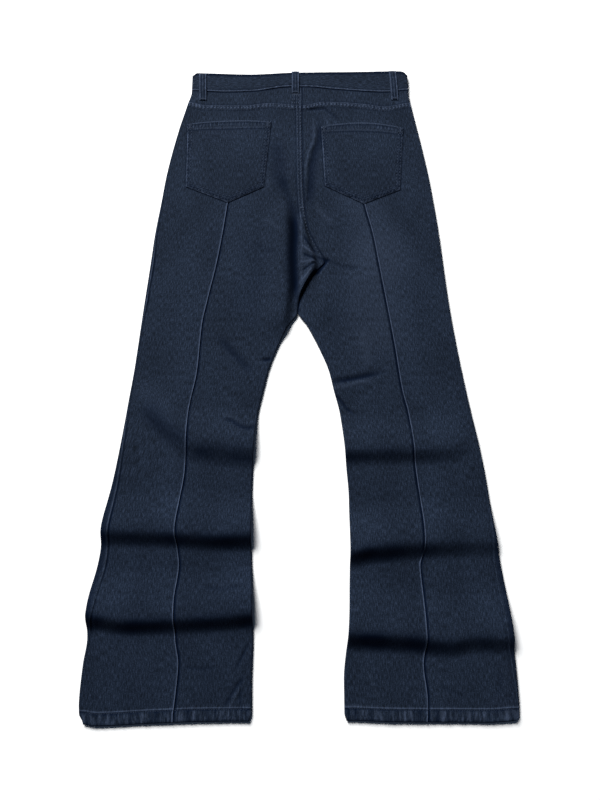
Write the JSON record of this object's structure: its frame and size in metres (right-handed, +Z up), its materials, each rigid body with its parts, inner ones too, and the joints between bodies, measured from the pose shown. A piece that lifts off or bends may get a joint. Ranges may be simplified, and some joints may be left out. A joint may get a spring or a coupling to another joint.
{
  "type": "bootcut jeans",
  "caption": "Flared bootcut jeans laid flat with the back up, with a waistband, back yoke, patch pockets, belt loops and a raised seam down the back of each leg.",
  "frame": {"origin": "on the surface that the jeans lie on, under the middle of their outline", "axes": "+X across the garment to the wearer's right, +Y up to the waist, +Z up from the surface, out of the back of the jeans"},
  "size_m": [0.653, 1.1165, 0.0198],
  "materials": {
    "denim": "dark indigo denim with a fine vertical slub",
    "denim_trim": "dark indigo denim of the small cut pieces",
    "button_metal": "aged brass, satin"
  },
  "bodies": {
    "root": {"front_left": "denim", "front_right": "denim", "back_outer_left": "denim", "back_inner_left": "denim", "back_outer_right": "denim", "back_inner_right": "denim", "yoke_left": "denim_trim", "yoke_right": "denim_trim", "waistband": "denim_trim", "pocket_left": "denim_trim", "pocket_right": "denim_trim", "belt_loop_back_left": "denim_trim", "belt_loop_back_centre": "denim_trim", "belt_loop_back_right": "denim_trim", "belt_loop_front_left": "denim_trim", "belt_loop_front_right": "denim_trim", "button": "button_metal"}
  },
  "joints": []
}
